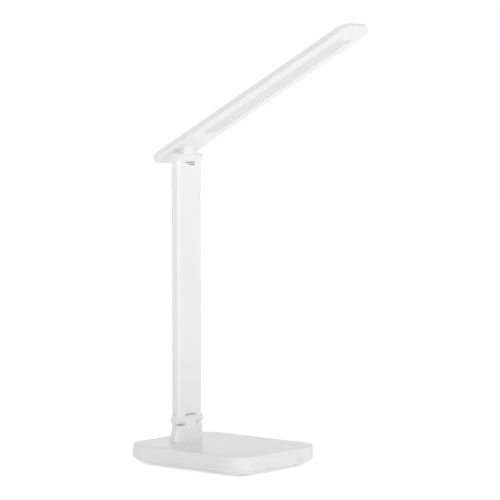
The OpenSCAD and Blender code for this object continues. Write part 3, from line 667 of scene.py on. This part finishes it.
def make_feet():
    """Round pads with a rounded rim and a slightly hollow face."""
    turns = [pi / 2 * k / 5 for k in range(6)]
    rim = [(FOOT_R - FOOT_EDGE + FOOT_EDGE * sin(a), FOOT_EDGE * (1 - cos(a))) for a in turns]
    hollow = [(0, FOOT_HOLLOW), (FOOT_R - FOOT_RIM, FOOT_HOLLOW), (FOOT_R - FOOT_RIM + 2 * FOOT_HOLLOW, 0)]
    outline = hollow + rim + [(FOOT_R, FOOT_HIGH.z), (0, FOOT_HIGH.z)]
    feet = [laid(lathe(outline), "Z", (x, y, 0)) for x, y in foot_places()]
    finish(as_object("feet", together(*feet)), "base", "rubber", "rubber_feet")


# Pedestal

EAR_R = 4.7
PIN_BORE = 1.55
TONGUE_WIDTH = 14.8
WASHER_SEAT_R = 3.75
WASHER_SEAT_Y = 7.0
TONGUE_EDGE = 0.35
TONGUE_R = 5.05
ROUND_STEPS = 24
# How far the tongue's front lies behind the pedestal's, at heights above the pedestal
TONGUE_EASE = [(0.0, 0.6), (0.06, 2.0), (0.24, 4.0)]
LEAD_X = -3.4
LEAD_CHANNEL = (-4.15, -2.6, 1.6)
NECK_TOP = 34.7
NECK_SHOULDER = 1.0
NECK_FLARE = 1.6
NECK_STEPS = 7
NECK_FRONT = 5.3
NECK_BACK = 5.0
NECK_FOOT_FRONT = 5.2
NECK_FOOT_BACK = 8.0
NECK_WIDTH = 37.0
NECK_FOOT_WIDTH = 42.6
NECK_R = 3.4
NECK_FOOT_R = 6.0
NECK_WALL = 2.0
NECK_SCREW_Y = 12.5
NECK_POST_R = 2.9
NECK_SCREW_DEPTH = 8.5


def neck_outline(z, inset=0.0):
    """The pedestal's outline at a height: its back and sides flare out towards the foot in a hollow curve."""
    t = min(1.0, (z - TOP_Z) / (NECK_TOP - NECK_SHOULDER - TOP_Z))
    flare = (1 - t) ** NECK_FLARE
    back = NECK_BACK + (NECK_FOOT_BACK - NECK_BACK) * flare
    front = NECK_FRONT + (NECK_FOOT_FRONT - NECK_FRONT) * flare
    width = NECK_WIDTH + (NECK_FOOT_WIDTH - NECK_WIDTH) * flare
    radius = NECK_R + (NECK_FOOT_R - NECK_R) * flare
    return [back + front - 2 * inset, width - 2 * inset, max(radius - inset, 0.4), z, (front - back) / 2]


def neck_body(inset, low, high):
    """The pedestal's shape, drawn in by an inset; only the outer one has round shoulders."""
    shoulder = 0 if inset else NECK_SHOULDER
    straight = high - shoulder
    outlines = [neck_outline(low + (straight - low) * k / NECK_STEPS, inset) for k in range(NECK_STEPS + 1)]
    for step_in, step_up in quarter(shoulder, shoulder, steps=5, first=1) if shoulder else []:
        outline = neck_outline(straight, step_in)
        outline[3] = straight + step_up
        outlines.append(outline)
    return laid(loft(outlines), "Z", (HINGE_X, 0, 0))


def tongue_outline():
    """The tongue from the side: flush with the pedestal's front, then round about the hinge axis."""
    low = NECK_TOP - NECK_WALL
    turns = [pi * k / ROUND_STEPS for k in range(ROUND_STEPS + 1)]
    round_end = [(TONGUE_R * cos(a), LOWER.z + TONGUE_R * sin(a)) for a in turns]
    ease = [(NECK_FRONT - behind, NECK_TOP + above) for behind, above in TONGUE_EASE]
    return [(-TONGUE_R, low), (NECK_FRONT, low)] + ease + round_end


def washer_seats(place=(0, 0, 0)):
    """What is cut from both sides of a tongue for its friction washers."""
    return [rod(WASHER_SEAT_R, *sorted((j * WASHER_SEAT_Y, j * TONGUE_WIDTH)), "Y", place) for j in (-1, 1)]


def lead_channel(low, high):
    """The way of the lamp lead behind a hinge's pin."""
    back, front, side = LEAD_CHANNEL
    return box((back, -side, low), (front, side, high))


def make_neck():
    neck = as_object("pedestal", neck_body(0.0, TOP_Z, NECK_TOP))
    combine(neck, "DIFFERENCE", neck_body(NECK_WALL, TOP_Z - 1, NECK_TOP - NECK_WALL))
    combine(neck, "UNION", *[rod(NECK_POST_R, TOP_Z, NECK_TOP - NECK_WALL + 0.5,
                                 place=(HINGE_X, j * NECK_SCREW_Y, 0)) for j in (-1, 1)])
    tongue = bar(tongue_outline(), TONGUE_WIDTH)
    soften(tongue, TONGUE_EDGE, lambda a, b: abs(a.y - b.y) < 0.01 and min(a.z, b.z) > NECK_TOP)
    combine(neck, "UNION", laid(tongue, "Z", (HINGE_X, 0, 0)))
    combine(neck, "DIFFERENCE", *washer_seats(LOWER))
    combine(neck, "DIFFERENCE", rod(PIN_BORE, -TONGUE_WIDTH, TONGUE_WIDTH, "Y", LOWER),
            *[rod(SCREW_BORE, TOP_Z - 1, TOP_Z + NECK_SCREW_DEPTH, place=(HINGE_X, j * NECK_SCREW_Y, 0))
              for j in (-1, 1)])
    combine(neck, "DIFFERENCE", laid(lead_channel(NECK_TOP - 3, LOWER.z + 0.7), "Z", (HINGE_X, 0, 0)))
    finish(neck, "base", "casing", "neck")


# Arm

ARM_THICK = 9.4
ARM_WIDTH = 34.2
ARM_FRONT_R = 3.2
ARM_BACK_R = 1.2
ARM_WALL = 1.8
ARM_SEAM = 0.8
ARM_LOW = LOWER.z + 5.45
ARM_HIGH = UPPER.z - 6.95
COVER_GAP = 0.6
EAR_IN = 7.5
EAR_EDGE = 0.45
POCKET_R = 3.3
POCKET_FLOOR = 13.0
LIP_Y = 15.15
LIP_WIDTH = 0.8
LIP_HEIGHT = 1.2
STAKE_R = 1.2
STAKE_INSET = 18.0
BAR_FACE = 1.4
FAR = 2 * ARM_WIDTH
PAST = 9.0
SEAM_EDGE = 0.2
SLOT_EDGE = 0.3
SLOT_REACH = 7.0
# The web's top from its front to its middle, as [x, z] points from the upper axis, and its underside
WEB_TOP = [(4.4, -6.0), (4.0, -5.72), (3.5, -5.42), (3.0, -5.2), (2.0, -5.0), (0.0, -4.95)]
WEB_LOW = -6.2
WEB_OVERLAP = 0.2
WEB_LEAD_GAP = 0.3


def arm_prism(low, high):
    """The arm's section, drawn up between two heights."""
    bm, face = plate(ARM_THICK, ARM_WIDTH, ARM_FRONT_R, low, segments=10, back_radius=ARM_BACK_R)
    grow(bm, face, [(0, 0), (0, high - low)])
    return laid(closed(bm), "Z", (HINGE_X, 0, 0))


def barrel(place):
    """The round end of the arm, across its whole width."""
    half = ARM_WIDTH / 2
    edge = quarter(EAR_EDGE, EAR_EDGE, steps=4)
    rim = [(EAR_R - edge_in, half - EAR_EDGE + edge_up) for edge_in, edge_up in edge]
    other = [(radius, -y) for radius, y in reversed(rim)]
    return laid(lathe([(0, -half)] + other + rim + [(0, half)]), "Y", place)


def in_arm(low, high):
    """An upright box between two corners, whose X is measured from the hinges' axes."""
    return box((HINGE_X + low[0], low[1], low[2]), (HINGE_X + high[0], high[1], high[2]))


def upper_web():
    """A web between the upper ears, hollowed to clear the bracket in every pose, with the lead's way."""
    reach = WEB_TOP[0][0]
    other = [(-x, z) for x, z in reversed(WEB_TOP[:-1])]
    outline = [(-reach, WEB_LOW), (reach, WEB_LOW)] + WEB_TOP + other
    web = as_object("web", bar(outline, 2 * (EAR_IN + WEB_OVERLAP)))
    front, half = LEAD_CHANNEL[1:]
    combine(web, "DIFFERENCE", box((-PAST, -half, -PAST), (front + WEB_LEAD_GAP, half, 0)))
    return laid(body_of(web), "Z", UPPER)


def make_arm_front():
    """The arm's front half with both pairs of ears; what lies behind the seam is cut away between them."""
    shell = as_object("arm_shell_front", arm_prism(LOWER.z, UPPER.z))
    combine(shell, "UNION", barrel(LOWER), barrel(UPPER))
    combine(shell, "DIFFERENCE", in_arm((-PAST, -FAR, ARM_LOW), (ARM_SEAM, FAR, ARM_HIGH)))
    hollow = ARM_THICK / 2 - ARM_WALL
    side = ARM_WIDTH / 2 - ARM_WALL
    combine(shell, "DIFFERENCE", in_arm((-PAST, -side, ARM_LOW - 0.01), (hollow, side, ARM_HIGH + 0.01)))
    combine(shell, "DIFFERENCE", in_arm((-PAST, -EAR_IN, LOWER.z - PAST), (PAST, EAR_IN, ARM_LOW)),
            in_arm((-PAST, -EAR_IN, ARM_HIGH), (PAST, EAR_IN, UPPER.z + PAST)))
    combine(shell, "UNION", upper_web())
    for place in (LOWER, UPPER):
        combine(shell, "DIFFERENCE", rod(PIN_BORE, -FAR, FAR, "Y", place))
        combine(shell, "DIFFERENCE", rod(POCKET_R, -FAR, -POCKET_FLOOR, "Y", place),
                rod(POCKET_R, POCKET_FLOOR, FAR, "Y", place))
    combine(shell, "UNION", *[rod(STAKE_R, HINGE_X + BAR_FACE - 0.6, HINGE_X + hollow + 0.5, "X", (0, 0, z))
                              for z in (ARM_LOW + STAKE_INSET, ARM_HIGH - STAKE_INSET)])
    resoften(shell, SEAM_EDGE, lambda a, b: on_arm_seam(a) and on_arm_seam(b), 1)
    resoften(shell, SLOT_EDGE, slot_edge)
    finish(shell, "arm", "casing", "arm_front_shell")


def on_arm_seam(a):
    return abs(a.x - HINGE_X - ARM_SEAM) < 0.01 and abs(abs(a.y) - ARM_WIDTH / 2) < 0.01


def slot_edge(a, b):
    """The edges where the slots and their ends meet the arm's front."""
    front = all(p.x > HINGE_X + ARM_THICK / 2 - 0.02 for p in (a, b))
    return front and all(abs(p.y) < EAR_IN + 0.02 for p in (a, b)) and any(
        abs((a.z + b.z) / 2 - z) < SLOT_REACH for z in (ARM_LOW, ARM_HIGH))


def make_arm_back():
    """The arm's rear half, with two lips that reach into the front one."""
    low = ARM_LOW + COVER_GAP
    high = ARM_HIGH - COVER_GAP
    cover = as_object("arm_cover_back", arm_prism(low, high))
    combine(cover, "DIFFERENCE", in_arm((ARM_SEAM, -FAR, low - PAST), (PAST, FAR, high + PAST)))
    hollow = ARM_THICK / 2 - ARM_WALL
    side = ARM_WIDTH / 2 - ARM_WALL
    combine(cover, "DIFFERENCE", in_arm((-hollow, -side, low - 1), (PAST, side, high + 1)))
    for inside, outside, top in ((LIP_Y - 0.1, side + 0.1, -0.2), (LIP_Y - LIP_WIDTH, LIP_Y, LIP_HEIGHT)):
        strips = []
        for j in (-1, 1):
            near, far = sorted((j * inside, j * outside))
            strips.append(in_arm((ARM_SEAM - 1, near, low), (ARM_SEAM + top, far, high)))
        combine(cover, "UNION", *strips)
    resoften(cover, SEAM_EDGE, lambda a, b: on_arm_seam(a) and on_arm_seam(b), 1)
    finish(cover, "arm", "casing", "arm_rear_cover")


# Pivot caps, one on each side of both hinges

CAP_R = 4.6
CAP_PROUD = 1.8
CAP_EDGE = 0.4
CAP_DOME = 0.12
SPIGOT_R = 3.25
SPIGOT_DEPTH = 0.9


def cap_outline():
    """A slightly domed disc with a round rim, and the spigot that holds it in the ear."""
    edge = [(CAP_R - edge_in, CAP_PROUD - CAP_DOME - CAP_EDGE + edge_up)
            for edge_in, edge_up in quarter(CAP_EDGE, CAP_EDGE, steps=5)]
    flat = CAP_R - CAP_EDGE
    dome = [(flat * (1 - k / 4), CAP_PROUD - CAP_DOME * (1 - k / 4) ** 2) for k in range(1, 5)]
    return [(0, -SPIGOT_DEPTH), (SPIGOT_R, -SPIGOT_DEPTH), (SPIGOT_R, 0), (CAP_R, 0)] + edge + dome


def make_caps(name, node, place):
    """The two caps of one hinge."""
    half = ARM_WIDTH / 2
    caps = []
    for side in (-1, 1):
        cap = lathe(cap_outline())
        if side < 0:
            bmesh.ops.rotate(cap, matrix=Matrix.Rotation(pi, 3, "X"), verts=cap.verts)
        caps.append(laid(laid(cap, "Y"), "Z", place + Vector((0, side * half, 0))))
    finish(as_object(name, together(*caps)), "arm", "casing", node)


# Head, drawn level: X runs along it from the upper axis, Z is up from the axis

HEAD_FRONT = 238.5
HEAD_BACK = 27.5
HEAD_LENGTH = HEAD_FRONT + HEAD_BACK
HEAD_MIDDLE = (HEAD_FRONT - HEAD_BACK) / 2
HEAD_WIDTH = 41.6
HEAD_THICK = 6.8
HEAD_RISE = 7.7
HEAD_CORNER = 10.0
TIP_CORNER = 12.5
HEAD_DRAFT = 0.75
HEAD_LIP = 1.3
HEAD_LIP_IN = 1.7
HEAD_TOP_R = 1.6
SHELL_IN = 2.2
CEILING = HEAD_RISE + HEAD_THICK - 1.6
BEZEL_THICK = 1.5
TIP_SWEEP = 1.7
TIP_LENGTH = 26.5
TIP_CUTS = 10
SLIP = 0.15
HEAD_SEAM = 0.15
HEAD_STEPS = 12
SEAM_LEAN = 0.02


def sweep_tip(bm, low, high):
    """Bends the underside up towards the head's tip: all that lies below low, and less of it up to high."""
    for k in range(TIP_CUTS):
        place = (HEAD_FRONT - TIP_LENGTH * (1 - k / TIP_CUTS), 0, 0)
        bmesh.ops.bisect_plane(bm, geom=bm.verts[:] + bm.edges[:] + bm.faces[:], plane_co=place,
                               plane_no=(1, 0, 0), dist=0.0001)
    for vert in bm.verts:
        share = min(1.0, max(0.0, (high - vert.co.z) / (high - low)))
        reach = max(0.0, vert.co.x - HEAD_FRONT + TIP_LENGTH) / TIP_LENGTH
        vert.co.z += TIP_SWEEP * reach ** 2 * share
    return bm


def make_head_top():
    """The head's upper casing, from the seam up, with a rounded edge."""
    low = HEAD_RISE + HEAD_LIP
    wall = HEAD_THICK - HEAD_LIP - HEAD_TOP_R
    outer, face = plate(HEAD_LENGTH, HEAD_WIDTH, TIP_CORNER, low, HEAD_MIDDLE, HEAD_STEPS, HEAD_CORNER)
    chamfer = [(0, 0), (SEAM_LEAN, HEAD_SEAM)]
    grow(outer, face, chamfer + quarter(HEAD_TOP_R, HEAD_TOP_R, (HEAD_DRAFT, wall), steps=7))
    inner, roof = plate(HEAD_LENGTH - 2 * SHELL_IN, HEAD_WIDTH - 2 * SHELL_IN, TIP_CORNER - SHELL_IN, low,
                        HEAD_MIDDLE, HEAD_STEPS, HEAD_CORNER - SHELL_IN)
    grow(inner, roof, chamfer + [(0.1, CEILING - low - 0.5), (0.6, CEILING - low)])
    shell = sweep_tip(closed_shell(outer, inner), low, HEAD_RISE + HEAD_THICK)
    soften(shell, HEAD_SEAM, lambda a, b: is_outer_rim(a) and is_outer_rim(b), 1)
    finish(as_object("head_shell_top", shell), "head", "casing", "head_top_shell", place=HEAD_PLACE)


def is_outer_rim(a):
    """On the head's widest outline, at the seam."""
    reach = max(0.0, a.x - HEAD_FRONT + TIP_LENGTH) / TIP_LENGTH
    seam = HEAD_RISE + HEAD_LIP + TIP_SWEEP * reach ** 2
    corner = TIP_CORNER if a.x > HEAD_MIDDLE else HEAD_CORNER
    along = abs(a.x - HEAD_MIDDLE) - (HEAD_LENGTH / 2 - corner)
    across = abs(a.y) - (HEAD_WIDTH / 2 - corner)
    if along > 0 and across > 0:
        edge = sqrt(along ** 2 + across ** 2)
    else:
        edge = max(along, across)
    return abs(a.z - seam) < 0.02 and abs(edge - corner) < 0.06


DIFFUSER_LOW = 36.0
DIFFUSER_LENGTH = 182.0
DIFFUSER_WIDTH = 18.8
DIFFUSER_MIDDLE = DIFFUSER_LOW + DIFFUSER_LENGTH / 2
DIFFUSER_R = 1.5
DIFFUSER_RECESS = 0.5
FLANGE = 1.4
FLANGE_THICK = 0.8
OPENING_EDGE = 0.2
SPIGOT_HALF = (9.0, 4.5)
RAIL_Y = 13.0
RAIL_WIDTH = 1.0
RAIL_HEIGHT = 2.7
RAIL_SHORT = 4.0
DIFFUSER_EDGE = 0.15


def make_bezel():
    """The underside: a lip that rolls up to the seam, the diffuser's window and the bracket's seat."""
    seam = HEAD_RISE + HEAD_LIP
    lip = quarter(HEAD_LIP_IN, HEAD_LIP, steps=7)
    inset = SHELL_IN + SLIP
    above = [(0, 0), (inset, 0), (inset, BEZEL_THICK - HEAD_LIP)]
    body = slab(HEAD_LENGTH, HEAD_WIDTH, TIP_CORNER, HEAD_MIDDLE, seam, lip, above, HEAD_STEPS, HEAD_CORNER)
    bezel = as_object("head_bezel_plate", sweep_tip(body, seam + 1, seam + HEAD_THICK))
    more = SLIP + OPENING_EDGE
    edge = [(0, 0), (0, 1), (OPENING_EDGE, 1 + OPENING_EDGE), (OPENING_EDGE, 6)]
    window = slab(DIFFUSER_LENGTH + 2 * more, DIFFUSER_WIDTH + 2 * more, DIFFUSER_R + more, DIFFUSER_MIDDLE,
                  HEAD_RISE - 1, [(0, 0)], edge, segments=6)
    combine(bezel, "DIFFERENCE", window)
    half_x, half_y = SPIGOT_HALF
    combine(bezel, "DIFFERENCE", box((-half_x, -half_y, HEAD_RISE - 1), (half_x, half_y, HEAD_RISE + 5)))
    rail_end = DIFFUSER_LOW + DIFFUSER_LENGTH - RAIL_SHORT
    rail_top = HEAD_RISE + BEZEL_THICK + RAIL_HEIGHT
    rails = [box((DIFFUSER_LOW, j * RAIL_Y - RAIL_WIDTH / 2, seam),
                 (rail_end, j * RAIL_Y + RAIL_WIDTH / 2, rail_top)) for j in (-1, 1)]
    combine(bezel, "UNION", *rails)
    finish(bezel, "head", "casing", "head_bezel", place=HEAD_PLACE)


def make_diffuser():
    """A milky sheet, set back in its window, on a flange that lies on the bezel."""
    face = HEAD_RISE + DIFFUSER_RECESS
    seat = HEAD_RISE + BEZEL_THICK
    rim = quarter(DIFFUSER_EDGE, DIFFUSER_EDGE, (FLANGE, seat - face - DIFFUSER_EDGE), steps=3)
    body = slab(DIFFUSER_LENGTH + 2 * FLANGE, DIFFUSER_WIDTH + 2 * FLANGE, DIFFUSER_R + FLANGE,
                DIFFUSER_MIDDLE, seat, [(0, 0), (FLANGE, 0)] + rim, [(0, 0), (0, FLANGE_THICK)], segments=6)
    finish(as_object("diffuser_sheet", body), "head", "diffuser", "diffuser", place=HEAD_PLACE)


BRACKET_REACH = 13.5
KNUCKLE_R = 4.85
BRACKET_LOW = 1.2
BRACKET_SCREW_Y = 2.8
BRACKET_SCREW_Z = 2.8
SMALL_SCREW_BORE = 1.05
SPIGOT_TOP = 1.5
FLARE_STEPS = 14


def bracket_outline():
    """Round about the hinge axis, then flaring in a hollow curve to the head's underside."""
    flare = []
    for k in range(FLARE_STEPS + 1):
        a = pi / 2 * k / FLARE_STEPS
        flare.append((BRACKET_REACH - (BRACKET_REACH - EAR_R) * cos(a),
                      BRACKET_LOW + (HEAD_RISE - BRACKET_LOW) * sin(a)))
    turns = [-pi * k / ROUND_STEPS for k in range(ROUND_STEPS + 1)]
    knuckle = [(KNUCKLE_R * cos(a), KNUCKLE_R * sin(a)) for a in turns]
    return knuckle[::-1] + flare + [(-x, z) for x, z in reversed(flare)]


def make_bracket():
    """The bracket between the upper hinge and the head, with the spigot that sits in the bezel."""
    body = bar(bracket_outline(), TONGUE_WIDTH)
    below = HEAD_RISE - 0.05
    soften(body, TONGUE_EDGE, lambda a, b: abs(a.y - b.y) < 0.01 and max(a.z, b.z) < below)
    bracket = as_object("head_bracket_arm", body)
    half_x, half_y = SPIGOT_HALF
    combine(bracket, "UNION", box((SLIP - half_x, SLIP - half_y, HEAD_RISE - 1),
                                  (half_x - SLIP, half_y - SLIP, HEAD_RISE + SPIGOT_TOP)))
    combine(bracket, "DIFFERENCE", *washer_seats())
    combine(bracket, "DIFFERENCE", rod(PIN_BORE, -TONGUE_WIDTH, TONGUE_WIDTH, "Y"))
    combine(bracket, "DIFFERENCE", lead_channel(-0.7, HEAD_RISE + 3),
            *[rod(SMALL_SCREW_BORE, BRACKET_SCREW_Z, HEAD_RISE + 3, place=(0, j * BRACKET_SCREW_Y, 0))
              for j in (-1, 1)])
    finish(bracket, "head", "casing", "head_bracket", place=HEAD_PLACE)


add_camera()
add_world()
add_floor()
finish_cad_nodes()
make_base_top()
make_base_bottom()
make_feet()
make_neck()
make_arm_front()
make_arm_back()
make_caps("lower_caps", "lower_pivot_caps", LOWER)
make_caps("upper_caps", "upper_pivot_caps", UPPER)
make_head_top()
make_bezel()
make_diffuser()
make_bracket()

bpy.context.scene.view_settings.view_transform = "Standard"
